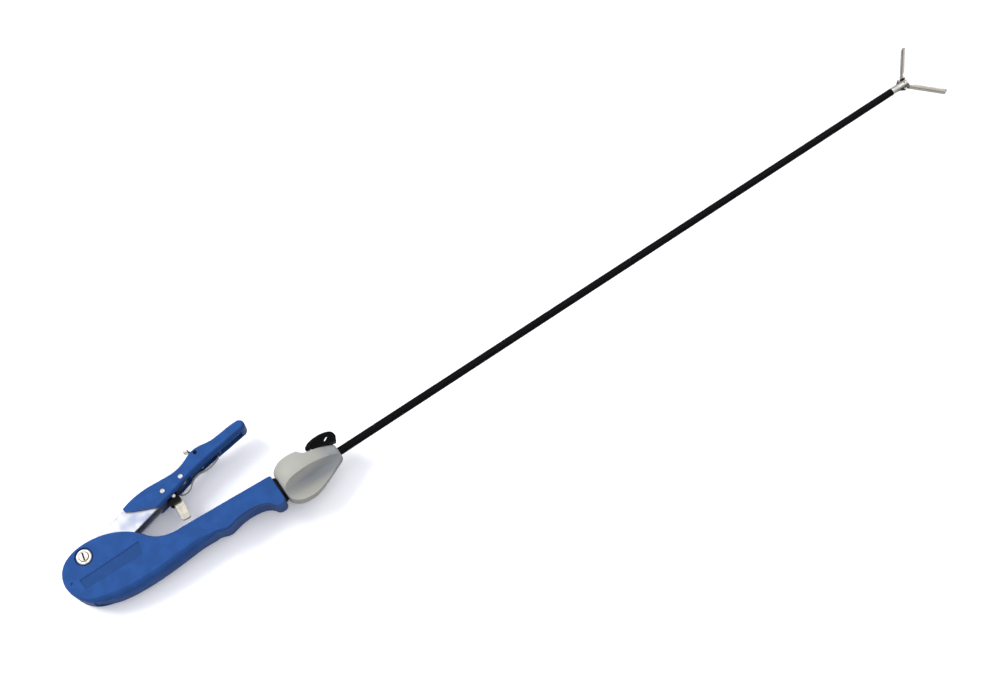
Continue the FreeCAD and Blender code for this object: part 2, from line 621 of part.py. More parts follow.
# Shaft
def shaft_tube():
    return ring(TUBE_R, TUBE_BORE_R, JAW_X - SLOT_LENGTH - 0.2 + 49.5, (-49.5, 0, 0))


def shaft_sleeve():
    return ring(SHAFT_R, TUBE_R, JAW_X - CLEVIS_BACK - TIP_RING - KNOB_NOSE, (KNOB_NOSE, 0, 0))


def tip_ring():
    back = JAW_X - CLEVIS_BACK
    return revolved([(back - TIP_RING, TUBE_R), (back - TIP_RING, SHAFT_R - 0.2), (back - 0.6, SHAFT_R - 0.2),
                     (back - 0.35, SHAFT_R - 0.05), (back, SHAFT_R - 0.05), (back, TUBE_R)])


def clevis():
    back = JAW_X - CLEVIS_BACK
    body = revolved([(back, 0), (back, SHAFT_R - 0.03), (back + 2.6, SHAFT_R - 0.03), (back + 3.4, CLEVIS_R),
                     (JAW_X + CLEVIS_NOSE, CLEVIS_R), (JAW_X + CLEVIS_NOSE, 0)])
    side_r = CLEVIS_R + 0.1
    nose_c = JAW_X + CLEVIS_NOSE - side_r
    side = prism(closed([line((nose_c, side_r), (back, side_r)), line((back, side_r), (back, -side_r)),
                         line((back, -side_r), (nose_c, -side_r)),
                         arc((nose_c, -side_r), (nose_c + side_r, 0), (nose_c, side_r))]), -3, 3)
    body = body.common(side)
    slot = block(JAW_X - SLOT_LENGTH, JAW_X + 6, -4, 4, -SLOT_HALF, SLOT_HALF)
    bore = cyl(TUBE_BORE_R, CLEVIS_BACK - SLOT_LENGTH + 0.6, (back, 0, 0))
    counterbore = cyl(TUBE_R, CLEVIS_BACK - SLOT_LENGTH - 0.2, (back, 0, 0))
    return body.cut([slot, bore, counterbore, pin_z(0.55, (JAW_X, 0), -3, 3)])


def jaw_pivot_pin():
    return pin_z(0.55, (JAW_X, 0), -2.3, 2.3)


# Jaws, drawn closed along +X from the pivot with the gripping face on the shaft's axis
def jaw_body(sign):
    """sign is 1 for the upper jaw and -1 for the lower one."""
    start, grip_from = 4.6, 8.6
    nose = JAW_LENGTH - 2.2
    barrel = cyl(JAW_R, JAW_LENGTH, (0, 0, 0))
    crown = closed([line((0, -0.7), (JAW_LENGTH, -0.7)), line((JAW_LENGTH, -0.7), (JAW_LENGTH, GRIP_GAP)),
                    arc((JAW_LENGTH, GRIP_GAP), (JAW_LENGTH - 0.75, 1.45), (nose, 2.3)),
                    line((nose, 2.3), (4, JAW_R)), line((4, JAW_R), (0, JAW_R)), line((0, JAW_R), (0, -0.7))])
    body = barrel.common(prism(crown, -3, 3))
    plan = block(0, nose, -3, 3, -JAW_R, JAW_R).fuse(cyl(JAW_R, 6, (JAW_LENGTH - JAW_R, -3, 0), Y_AXIS))
    body = body.common(plan)
    # Both jaws end in an arc about the hinge; outside the other jaw's plate a beak hooks past the grip line
    body = body.cut([pin_z(BEAK_R, (0, 0), -3, 3), pin_z(start, (0, 0), -LINK_Z[0], 3)])
    body = body.cut(block(-1, 6.2, -3, 1.0, -LINK_Z[0], 3))
    body = body.cut(block(5.4, JAW_LENGTH + 1, -3, GRIP_GAP, -3, 3))
    scallop = closed([line((5.0, -1), (grip_from, -1)), line((grip_from, -1), (grip_from, GRIP_GAP)),
                      arc((grip_from, GRIP_GAP), (grip_from - 0.9, 0.38), (grip_from - 2.0, 1.0)),
                      line((grip_from - 2.0, 1.0), (5.9, 1.0)), arc((5.9, 1.0), (5.1, 0.6), (4.5, -0.7)),
                      line((4.5, -0.7), (4.5, -1)), line((4.5, -1), (5.0, -1))])
    body = body.cut(prism(scallop, -3, 3))
    # Shallow groove along the gripping face with teeth across it
    body = body.cut(block(grip_from + 1.5, JAW_LENGTH - 3.2, 0, 0.5, -0.55, 0.55))
    teeth = []
    count = 26
    step = (JAW_LENGTH - 3.4 - grip_from - 1.2) / count
    for i in range(count):
        x = grip_from + 0.9 + i * step
        teeth.append(slab([(x, 0), (x + step * 0.45, 0.26), (x + step * 0.9, 0)], -3, 3))
    body = body.cut(teeth)
    # Hinge plate, as high as the shaft allows when the jaws are closed, and its crossing tail
    tail = (-TAIL_R * math.cos(math.radians(TAIL_CLOSED)), -TAIL_R * math.sin(math.radians(TAIL_CLOSED)))
    plate = bar((0, 0), tail, 0.95, *PLATE_Z)
    plate = plate.fuse([pin_z(1.9, (0, 0), *PLATE_Z),
                        slab([(-0.6, 1.8), (0.4, 2.2), (4.4, 2.2), (5.6, 2.0), (5.6, 1.05), (4.6, 0.2),
                              (3.3, -1.8), (2.7, -2.1), (1.2, -2.1), (-0.2, -1.8)], *PLATE_Z)])
    body = body.fuse(plate).removeSplitter()
    body = body.cut([pin_z(0.55 + RUN, (0, 0), -3, 3), pin_z(RIVET_R, tail, -3, 3)])
    return place_jaw(body, sign)


def place_jaw(shape, sign):
    out = shape.mirror(V(0, 0, 0), Z_AXIS)
    out.rotate(V(0, 0, 0), Z_AXIS, JAW_OPEN)
    if sign < 0:
        out.rotate(V(0, 0, 0), X_AXIS, 180)
    out.translate(V(JAW_X, 0, 0))
    return out


def tail_rivet(sign):
    tail = (-TAIL_R * math.cos(math.radians(TAIL_CLOSED)), -TAIL_R * math.sin(math.radians(TAIL_CLOSED)))
    rivet = pin_z(RIVET_R, tail, PLATE_Z[0], LINK_Z[1]).fuse(pin_z(0.7, tail, -0.36, PLATE_Z[0]))
    return place_jaw(rivet.removeSplitter(), sign)


def jaw_link(sign):
    slope = math.asin(TAIL_R * math.sin(math.radians(TAIL_CLOSED + JAW_OPEN)) / LINK_LENGTH)
    slope += math.radians(LINK_BIAS)
    far = (YOKE_X + LINK_LENGTH * math.cos(slope), -LINK_LENGTH * math.sin(slope))
    link = bar((YOKE_X, 0), far, 0.85, *LINK_Z)
    link = link.cut([pin_z(RIVET_R + RUN, (YOKE_X, 0), -3, 3), pin_z(RIVET_R + OPEN_PIVOT_GAP, far, -3, 3)])
    link = link.mirror(V(0, 0, 0), Z_AXIS)
    if sign < 0:
        link.rotate(V(0, 0, 0), X_AXIS, 180)
    return link


# Drive rod
def drive_rod():
    return cyl(ROD_R, YOKE_X - 3.4 - BALL_X, (BALL_X, 0, 0))


def rod_ball():
    return Part.makeSphere(BALL_R, V(BALL_X, 0, 0)).cut(cyl(ROD_R, 5, (BALL_X, 0, 0)))


def rod_yoke():
    head = cyl(1.55, 3.2, (YOKE_X - 4.6, 0, 0))
    tongue = bar((YOKE_X - 2.0, 0), (YOKE_X, 0), 0.9, -PLATE_Z[1], PLATE_Z[1])
    yoke = head.fuse(tongue).removeSplitter()
    return yoke.cut([cyl(ROD_R, 1.2, (YOKE_X - 4.6, 0, 0)), pin_z(RIVET_R, (YOKE_X, 0), -3, 3)])


def yoke_pin():
    return pin_z(RIVET_R, (YOKE_X, 0), -LINK_Z[1], LINK_Z[1])


def build():
    right, left = housing_halves()
    return {
        "handle_shell_right": right, "handle_shell_left": left, "pivot_bushing": pivot_bushing(),
        "pivot_screw": pivot_screw(), "pivot_nut": pivot_nut(), "front_collar": front_collar(),
        "bearing_bush": bearing_bush(), "ratchet_pawl": ratchet_pawl(),
        "pawl_pin": pin_z(0.8, PAWL_PIN_AT, -6.0, 6.0),
        "housing_screw_rear": housing_screw(HOUSING_SCREWS[0]),
        "housing_screw_front": housing_screw(HOUSING_SCREWS[1]),
        "lever_shell": lever_shell(), "lever_arm": lever_arm(), "lever_rivet_rear": lever_rivet(RIVETS[0]),
        "lever_rivet_front": lever_rivet(RIVETS[1]), "drive_pin": drive_pin(), "trigger_pin": trigger_pin(),
        "ratchet_holder": ratchet_holder(), "rack_pin": rack_pin(), "ratchet_spring": ratchet_spring(),
        "ratchet_rack": ratchet_rack(), "release_trigger": release_trigger(),
        "drive_link": drive_link(), "rod_coupler": rod_coupler(), "coupler_pin": coupler_pin(),
        "rotation_knob": knob(), "knob_hub": knob_hub(), "retaining_ring": retaining_ring(),
        "flush_port": flush_port(), "port_cap": port_cap(),
        "shaft_tube": shaft_tube(), "shaft_sleeve": shaft_sleeve(), "tip_ring": tip_ring(),
        "clevis": clevis(), "jaw_pivot_pin": jaw_pivot_pin(),
        "drive_rod": drive_rod(), "rod_ball": rod_ball(), "rod_yoke": rod_yoke(), "yoke_pin": yoke_pin(),
        "upper_jaw": jaw_body(1), "lower_jaw": jaw_body(-1),
        "upper_tail_rivet": tail_rivet(1), "lower_tail_rivet": tail_rivet(-1),
        "upper_link": jaw_link(1), "lower_link": jaw_link(-1),
    }


os.makedirs("parts", exist_ok=True)
for name, shape in build().items():
    if shape.ShapeType == "Compound" and len(shape.Solids) == 1:
        shape = shape.Solids[0]
    print(name, len(shape.Solids), shape.isValid(), round(shape.Volume, 1))
    shape.exportStep("parts/" + name + ".step")
print("rod travel", round(ROD_TRAVEL, 4), "drive arm", round(DRIVE_ARM, 3), "coupler x", round(COUPLER_X, 3),
      "yoke x", round(YOKE_X, 4))
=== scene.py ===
"""Finishes for a laparoscopic grasper: plastics, rubber and steels, small trim, and the studio stage.

Lengths are metres in the frame's own axes: X runs along the shaft towards the jaws, and +Z is the
side of the handle that faces the camera.
"""
import math

import bmesh
import bpy
from mathutils import Matrix, Vector


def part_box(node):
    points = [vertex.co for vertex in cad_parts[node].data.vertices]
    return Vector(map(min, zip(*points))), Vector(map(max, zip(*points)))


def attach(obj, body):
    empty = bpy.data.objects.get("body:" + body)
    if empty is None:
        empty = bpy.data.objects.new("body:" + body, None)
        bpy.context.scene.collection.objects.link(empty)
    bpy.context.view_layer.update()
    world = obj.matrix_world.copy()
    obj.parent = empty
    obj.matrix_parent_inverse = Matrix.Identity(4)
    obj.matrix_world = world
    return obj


bl_info = {
    "name": "Laparoscopic grasper",
    "version": (1, 0, 0),
    "blender": (4, 5, 0),
    "location": "View3D > Sidebar > Grasper",
    "description": "Dresses the grasper's solids with finishes and trim, and sets the stage",
    "category": "Object",
}

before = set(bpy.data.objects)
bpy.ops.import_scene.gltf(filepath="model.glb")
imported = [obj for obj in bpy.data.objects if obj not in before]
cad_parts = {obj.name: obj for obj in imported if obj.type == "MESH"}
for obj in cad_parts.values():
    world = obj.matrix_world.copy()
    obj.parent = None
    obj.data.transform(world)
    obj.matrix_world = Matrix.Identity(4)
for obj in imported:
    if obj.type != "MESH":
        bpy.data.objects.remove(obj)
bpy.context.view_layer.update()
COLOUR = {"subtype": "COLOR", "size": 3, "min": 0.0, "max": 1.0}

# Angles below are in degrees

# The port cap: its tilt, the ends of its flat side, that side's top and its half thickness
PORT_ANGLE = 80.0
CAP_FLAT = (-0.0132, 0.0002)
CAP_TOP = 0.0131
CAP_HALF = 0.0046

# The cap's pleats: how they bend and fan out, and at what share of the way down the longest lies
CAP_PLEATS = 8
PLEAT_BEND = -24.0
PLEAT_LEAN = -1.0
PLEAT_FAN = 12.0
PLEAT_SHRINK = 0.10
LONGEST_PLEAT = 0.6

# The insert in the cap's eye
EYE_PLACE = (-0.0038, 0.00985, 0.0040)
EYE_TURN = 26.5
EYE_HEIGHT = 0.00095
EYE_GRAIN = 0.0003

# How far a rivet's ring sinks in, as a share of its height
RING_SINK = 0.2

# The ribs on the release pad, and where the search for the pad's surface starts
PAD_RIBS = 3
PAD_RIB_START = 0.0007
PAD_RIB_PITCH = 0.0008
PAD_RIB_LENGTH = 0.0044
PAD_RIB_HEIGHT = 0.00032
PAD_RIB_EDGE = 0.0001
PAD_RIB_SINK = 0.00012
PAD_RIB_Z = -0.0015
PAD_SLOPE = -21.5
PAD_ABOVE = 0.06
PAD_OFF_CENTRE = 0.001

# Roundness of the made pieces
ROUND_STEPS = 24
SMOOTH_ANGLE = 35.0

# Marks in the finishes, some of them painted shade: place, half width and soft edge, or else where a mark
# begins and is full
SEAM = (0.0, 0.00005, 0.00008)
PANEL_FLOOR = (0.00765, 0.00003, 0.00002)
DRAG_LINE = (0.00035, 0.00004, 0.00016)
DRAG_WANDER = 0.0004
CLEVIS_LOWER_SHADE = (-0.0004, -0.0014)
HINGE_SHADE = (0.0062, 0.0042)
HINGE_PLATE = (0.00075, 0.0006)
SCREW_EDGE = (0.0026, 0.0023)
SCREW_SLOT = 0.0006
PAD_FOOT = (0.0486, 0.0490)
TAB_SIDE = 0.0024
KNOB_FLUTE_SHADE = (0.0115, 0.0075)

# Depths of grain and brushing, and scales of noise per metre
GRAIN_DEPTH = 0.00002
BRUSH_DEPTH = 0.000002
ARM_BRUSH_DEPTH = 0.0000015
WEAR_SCALE = 700.0
SMUDGE_REFLECTION_SCALE = 75.0
DRAG_SCALE = 900.0
# Scale of the painted reflection streaks in the knob's flutes
REFLECTION_STREAK_SCALE = 300.0

# Direction of the brushing on each piece
JAW_BRUSHING = 45.0
ARM_BRUSHING = -13.0
RACK_BRUSHING = 80.0
TAB_BRUSHING = 60.0

# Colours of single small things; the worn edge colours are also painted highlights, and the screw slot and
# arm edge colours are painted shade
BLACK_WORN_HIGHLIGHT = (0.03, 0.03, 0.032)
BUSH_WORN_HIGHLIGHT = (0.85, 0.84, 0.80)
EYE_WHITE = (0.88, 0.88, 0.86)
EYE_WORN_HIGHLIGHT = (0.9, 0.9, 0.9)
RACK_STEEL = (0.66, 0.63, 0.55)
SPRING_STEEL = (0.62, 0.60, 0.56)
TRIGGER_STEEL = (0.78, 0.72, 0.62)
TARNISH = (0.50, 0.47, 0.43)
SCREW_SLOT_SHADE = (0.030, 0.022, 0.016)
DRAG_COLOUR = (0.16, 0.09, 0.075)
TAB_COATING = (0.022, 0.020, 0.018)
ARM_SCRATCH = (0.55, 0.55, 0.57)
ARM_EDGE_SHADE = (0.10, 0.12, 0.18)

# The camera that was fitted to the photograph: its right, up and back directions and its place
CAMERA_AXES = ((0.8106962, -0.5844837, 0.0339184),
               (0.5286583, 0.7556982, 0.3865756),
               (-0.2515792, -0.2954641, 0.9216338))
CAMERA_PLACE = (-0.07345, -0.22238, 0.68826)

# The floor, and how far the knob's widest part lies from its back
FLOOR_SIZE = 8.0
FLOOR_GAP = 0.0002
KNOB_WIDEST = 0.0111

# The room as the object sees it, as its reflections see it, and as the camera sees it
ROOM_LOW = (0.58, 0.59, 0.64)
ROOM_HIGH = (0.97, 0.98, 1.04)
MIRROR_LOW = (0.085, 0.115, 0.105)
MIRROR_HIGH = (0.95, 0.95, 0.95)
MIRROR_WEST = (1.4, 1.38, 1.33)
BACKDROP = (1.02, 1.02, 1.03)

# The lights: places, sizes, what they aim at, and the fill's power as a share of the key's
KEY_PLACE = (-0.68, 0.92, 1.05)
FILL_PLACE = (0.90, 0.20, 1.40)
SHEEN_PLACE = (-0.34, 0.50, 1.35)
LIGHTS_AIM = (0.05, 0.0, 0.0)
KEY_SIZE = 0.7
FILL_SIZE = 1.2
SHEEN_SIZE = 0.36
FILL_SHARE = 0.15


def colour(name, description, default):
    return bpy.props.FloatVectorProperty(name=name, description=description, default=default, **COLOUR)


def length(name, description, default):
    return bpy.props.FloatProperty(name=name, description=description, default=default, unit="LENGTH",
                                   precision=5)


def factor(name, description, default):
    return bpy.props.FloatProperty(name=name, description=description, default=default, min=0.0, max=1.0,
                                   subtype="FACTOR")


def strength(name, description, default):
    return bpy.props.FloatProperty(name=name, description=description, default=default, min=0.0)


class GrasperPlastics(bpy.types.PropertyGroup):
    """Colours and gloss of the moulded parts."""
    housing: colour("Housing", "Blue of the housing halves and the lever", (0.0115, 0.063, 0.232))
    # The worn blue is also the painted highlight on the rounded edges
    housing_worn_highlight: colour("Worn housing", "Blue where hands have polished the edges", (0.020, 0.105, 0.37))
    knob: colour("Knob", "Grey of the rotation knob", (0.330, 0.325, 0.292))
    # The knob shade is painted shade inside the flutes
    knob_shade: colour("Knob shade", "Cooler grey inside the knob's flutes", (0.215, 0.230, 0.238))
    black: colour("Black plastic", "Collar and ratchet holder", (0.006, 0.006, 0.007))
    rubber: colour("Rubber", "Port cap", (0.004, 0.004, 0.004))
    sleeve: colour("Sleeve", "Insulating sleeve on the shaft", (0.002, 0.002, 0.0025))
    bush: colour("Bush", "White bearing bush", (0.72, 0.71, 0.68))
    housing_roughness: factor("Housing roughness", "Gloss of the blue plastic", 0.42)
    knob_roughness: factor("Knob roughness", "Gloss of the grey plastic", 0.42)
    blue_sheen: factor("Blue sheen", "How much the blue plastic reflects", 0.22)
    black_sheen: factor("Black sheen", "How much the black parts reflect", 0.07)
    grain: length("Grain", "Size of the moulded surface's fine grain", 0.00032)


class GrasperMetals(bpy.types.PropertyGroup):
    """Colours and polish of the steel parts."""
    polished: colour("Polished steel", "Clevis, tip ring, rivets and pivot flange", (0.80, 0.765, 0.715))
    jaw: colour("Jaw steel", "The two jaws", (0.60, 0.555, 0.50))
    sheet: colour("Sheet steel", "The lever arm", (0.80, 0.81, 0.84))
    plain: colour("Plain steel", "Pins, links and the drive", (0.56, 0.555, 0.54))
    # Darkened steel, also used as the painted shade on the jaws' thin plates round the hinge
    dark: colour("Darkened steel", "Hinge plates and sprung leaf", (0.115, 0.098, 0.082))
    polished_roughness: factor("Polished roughness", "Gloss of the polished steel", 0.20)
    plain_roughness: factor("Plain roughness", "Gloss of the plain steel", 0.34)
    scratch: length("Scratch width", "Width of the fine brushing marks", 0.00006)


class GrasperTrim(bpy.types.PropertyGroup):
    """Sizes of the small trim."""
    pleat: length("Pleat width", "Width of one pleat on the port cap's sides", 0.00034)
    pleat_pitch: length("Pleat pitch", "Distance between the cap's pleats", 0.00062)
    pleat_height: length("Pleat height", "How far a pleat stands out", 0.00015)
    eye_width: length("Eye width", "Width of the bright insert in the cap's eye", 0.00068)
    eye_length: length("Eye length", "Length of the bright insert in the cap's eye", 0.0027)
    ring_inner: length("Ring inside", "Inner radius of the peened ring on a rivet", 0.00030)
    ring_width: length("Ring width", "Width of the peened ring on a rivet", 0.00024)
    ring_height: length("Ring height", "Height of the peened ring on a rivet", 0.00008)
    pad_rib: length("Pad rib", "Width of one rib on the release pad", 0.00030)


class GrasperStage(bpy.types.PropertyGroup):
    """Camera, floor and lights."""
    lens: bpy.props.FloatProperty(name="Lens", description="Focal length on a 36 mm wide sensor",
                                  default=44.107, unit="CAMERA")
    floor: colour("Floor", "The plain pale floor", (0.95, 0.95, 0.96))
    bounce: factor("Floor bounce", "Brightness of the floor as the object itself sees it", 0.50)
    glow: colour("Floor glow", "Light added to the floor so that it overexposes", (0.10, 0.10, 0.105))
    sky: strength("Sky", "Strength of the even light", 0.98)
    key: strength("Key", "Power of the large soft light in watts", 20.0)
    sheen: strength("Sheen", "Power of the light seen in reflections in watts", 0.45)


# Shader helpers

def new_material(name, roughness, metallic=0.0):
    """A material with its Principled shader, ready to take patterns."""
    mat = bpy.data.materials.new(name)
    mat.use_nodes = True
    shader = mat.node_tree.nodes["Principled BSDF"]
    shader.inputs["Roughness"].default_value = roughness
    shader.inputs["Metallic"].default_value = metallic
    return mat, mat.node_tree, shader


def add_node(tree, kind, inputs=None, **settings):
    made = tree.nodes.new(kind)
    for key, value in settings.items():
        setattr(made, key, value)
    for key, value in (inputs or {}).items():
        if isinstance(value, bpy.types.NodeSocket):
            tree.links.new(value, made.inputs[key])
        else:
            made.inputs[key].default_value = value
    return made


def maths(tree, operation, first, second=0.0, clamp=False):
    return add_node(tree, "ShaderNodeMath", {0: first, 1: second}, operation=operation,
                    use_clamp=clamp).outputs[0]


def ramp(tree, value, low, high, out_low=0.0, out_high=1.0):
    """Maps a value's range to another, held at both ends."""
    return add_node(tree, "ShaderNodeMapRange", {0: value, 1: low, 2: high, 3: out_low, 4: out_high},
                    interpolation_type="SMOOTHSTEP").outputs[0]


def noise(tree, vector, scale, detail, roughness=0.5):
    """Cloudy noise from 0 to 1."""
    return add_node(tree, "ShaderNodeTexNoise", {"Vector": vector, "Scale": scale, "Detail": detail,
                                                 "Roughness": roughness}).outputs[0]


def vector_maths(tree, operation, first, second):
    return add_node(tree, "ShaderNodeVectorMath", {0: first, 1: second}, operation=operation).outputs[0]


def vector_length(tree, vector):
    return add_node(tree, "ShaderNodeVectorMath", {0: vector}, operation="LENGTH").outputs["Value"]


def blend(tree, share, first, second):
    """Mixes two colours."""
    made = add_node(tree, "ShaderNodeMix", data_type="RGBA")
    for socket, value in ((0, share), (6, first), (7, second)):
        if isinstance(value, bpy.types.NodeSocket):
            tree.links.new(value, made.inputs[socket])
        elif socket:
            made.inputs[socket].default_value = (*value[:3], 1.0)
        else:
            made.inputs[socket].default_value = value
    return made.outputs[2]


def new_group(name, inputs, outputs):
    """An empty shader node group with named sockets."""
    tree = bpy.data.node_groups.new(name, "ShaderNodeTree")
    kinds = {"v": "NodeSocketVector", "f": "NodeSocketFloat", "c": "NodeSocketColor"}
    for key, kind in inputs:
        tree.interface.new_socket(name=key, in_out="INPUT", socket_type=kinds[kind])
    for key, kind in outputs:
        tree.interface.new_socket(name=key, in_out="OUTPUT", socket_type=kinds[kind])
    return tree, tree.nodes.new("NodeGroupInput"), tree.nodes.new("NodeGroupOutput")


def fine_grain_group():
    """The even speckle of a moulded or blasted surface."""
    tree, source, sink = new_group("Fine grain", [("Vector", "v"), ("Size", "f")],
                                   [("Height", "f"), ("Patches", "f")])
    scale = maths(tree, "DIVIDE", 1.0, source.outputs["Size"])
    fine = noise(tree, source.outputs["Vector"], scale, 2.0, 0.6)
    wide = noise(tree, source.outputs["Vector"], maths(tree, "MULTIPLY", scale, 0.045), 3.0)
    tree.links.new(fine, sink.inputs["Height"])
    tree.links.new(ramp(tree, wide, 0.38, 0.66), sink.inputs["Patches"])
    return tree


def brushing_group():
    """Long fine scratches along the vector's X, and the cloudy shine that polishing leaves."""
    tree, source, sink = new_group("Brushing", [("Vector", "v"), ("Width", "f")],
                                   [("Height", "f"), ("Clouds", "f"), ("Scratches", "f")])
    stretched = vector_maths(tree, "MULTIPLY", source.outputs["Vector"], (0.025, 1.0, 1.0))
    scale = maths(tree, "DIVIDE", 1.0, source.outputs["Width"])
    lines = noise(tree, stretched, scale, 3.0, 0.7)
    deep = noise(tree, stretched, maths(tree, "MULTIPLY", scale, 0.3), 1.0)
    clouds = noise(tree, source.outputs["Vector"], maths(tree, "MULTIPLY", scale, 0.03), 3.0)
    scratches = ramp(tree, deep, 0.60, 0.72)
    tree.links.new(maths(tree, "SUBTRACT", lines, scratches), sink.inputs["Height"])
    tree.links.new(ramp(tree, clouds, 0.35, 0.65), sink.inputs["Clouds"])
    tree.links.new(scratches, sink.inputs["Scratches"])
    return tree


def worn_lit_edge_group():
    """Edges rubbed by hands, a mask that also carries painted highlights on rounded edges and painted shade
    on the lever arm's cut edges: one on sharp edges, nothing on flat faces.
    """
    tree, source, sink = new_group("Worn and lit edges", [("Vector", "v"), ("Radius", "f"), ("Amount", "f")],
                                   [("Mask", "f")])
    bevel = add_node(tree, "ShaderNodeBevel", {"Radius": source.outputs["Radius"]}, samples=4)
    flat = tree.nodes.new("ShaderNodeNewGeometry").outputs["True Normal"]
    turn = add_node(tree, "ShaderNodeVectorMath", {0: bevel.outputs[0], 1: flat}, operation="DOT_PRODUCT")
    edge = ramp(tree, turn.outputs["Value"], 0.995, 0.90)
    broken = noise(tree, source.outputs["Vector"], WEAR_SCALE, 4.0)
    share = maths(tree, "MULTIPLY", edge, ramp(tree, broken, 0.35, 0.6))
    tree.links.new(maths(tree, "MULTIPLY", share, source.outputs["Amount"], True), sink.inputs["Mask"])
    return tree


GROUPS = {}


def use_group(tree, name, inputs):
    """Places a shared effect, which is built the first time it is asked for."""
    makers = {"Fine grain": fine_grain_group, "Brushing": brushing_group, "Worn and lit edges": worn_lit_edge_group}
    if name not in GROUPS:
        GROUPS[name] = makers[name]()
    return add_node(tree, "ShaderNodeGroup", inputs, node_tree=GROUPS[name])


def place_on(tree):
    """Position on the piece, in metres."""
    return tree.nodes.new("ShaderNodeTexCoord").outputs["Object"]


def bump(tree, shader, height, distance):
    made = add_node(tree, "ShaderNodeBump", {"Height": height, "Distance": distance})
    tree.links.new(made.outputs[0], shader.inputs["Normal"])


def axis(tree, vector, name):
    return add_node(tree, "ShaderNodeSeparateXYZ", {0: vector}).outputs[name]


def near(tree, value, centre, half, soft):
    """One within half of a centre, fading to nothing over soft."""
    off = maths(tree, "ABSOLUTE", maths(tree, "SUBTRACT", value, centre))
    return ramp(tree, off, half + soft, half)


# Finishes

def moulded(name, base, worn_highlight, roughness, grain, wear_and_highlight=0.6, split=False, sheen=0.5):
    """Moulded plastic: fine grain, faint cloudiness, and rubbed edges that also carry a painted highlight.

    The split housing also gets its dark parting line and the darker floor of its sunk panel.
    """
    mat, tree, shader = new_material(name, roughness)
    shader.inputs["Specular IOR Level"].default_value = sheen
    at = place_on(tree)
    speckle = use_group(tree, "Fine grain", {"Vector": at, "Size": grain})
    edges = use_group(tree, "Worn and lit edges", {"Vector": at, "Radius": 0.0005, "Amount": wear_and_highlight})
    shaded = tuple(c * 0.86 for c in base)
    body = blend(tree, speckle.outputs["Patches"], shaded, base)
    # Rubbed edges lightened, which is also a painted highlight
    tinted = blend(tree, edges.outputs["Mask"], body, worn_highlight)
    height = speckle.outputs["Height"]
    if split:
        seam = near(tree, axis(tree, at, "Z"), *SEAM)
        tinted = blend(tree, maths(tree, "MULTIPLY", seam, 0.7), tinted, tuple(c * 0.25 for c in base))
        height = maths(tree, "SUBTRACT", height, maths(tree, "MULTIPLY", seam, 4.0))
        panel = near(tree, axis(tree, at, "Z"), *PANEL_FLOOR)
        tinted = blend(tree, maths(tree, "MULTIPLY", panel, 0.45), tinted, tuple(c * 0.55 for c in base))
    tree.links.new(tinted, shader.inputs["Base Color"])
    gloss = ramp(tree, speckle.outputs["Patches"], 0.0, 1.0, roughness + 0.02, roughness - 0.02)
    tree.links.new(gloss, shader.inputs["Roughness"])
    bump(tree, shader, height, GRAIN_DEPTH)
    return mat


def steel(name, base, roughness, width, turn=0.0):
    """Steel with fine brushing along one direction, cloudy polish and a few deeper scratches."""
    mat, tree, shader = new_material(name, roughness, 1.0)
    at = place_on(tree)
    turned = add_node(tree, "ShaderNodeMapping", {"Vector": at, "Rotation": (0.0, 0.0, turn)}).outputs[0]
    marks = use_group(tree, "Brushing", {"Vector": turned, "Width": width})
    body = blend(tree, marks.outputs["Clouds"], tuple(c * 0.88 for c in base), base)
    lined = blend(tree, maths(tree, "MULTIPLY", marks.outputs["Scratches"], 0.45), body, TARNISH)
    tree.links.new(lined, shader.inputs["Base Color"])
    gloss = ramp(tree, marks.outputs["Clouds"], 0.0, 1.0, roughness + 0.09, roughness - 0.05)
    tree.links.new(maths(tree, "ADD", gloss, maths(tree, "MULTIPLY", marks.outputs["Scratches"], 0.15)),
                   shader.inputs["Roughness"])
    bump(tree, shader, marks.outputs["Height"], BRUSH_DEPTH)
    return mat, tree, shader, lined


def jaw_steel(name, base, dark, roughness, width, hinge_x, turn):
    """Polished jaw steel, with painted shade on the thin plate round the hinge."""
    mat, tree, shader, lined = steel(name, base, roughness, width, turn)
    at = tree.nodes["Texture Coordinate"].outputs["Object"]
    reach = vector_length(tree, vector_maths(tree, "SUBTRACT", at, (hinge_x, 0.0, 0.0)))
    near_hinge = ramp(tree, reach, *HINGE_SHADE)
    thin = ramp(tree, maths(tree, "ABSOLUTE", axis(tree, at, "Z")), *HINGE_PLATE)
    hinge_shade = maths(tree, "MULTIPLY", near_hinge, thin)
    # Painted shade on the thin plate round the hinge, in the darkened steel colour
    tree.links.new(blend(tree, hinge_shade, lined, dark), shader.inputs["Base Color"])
    return mat


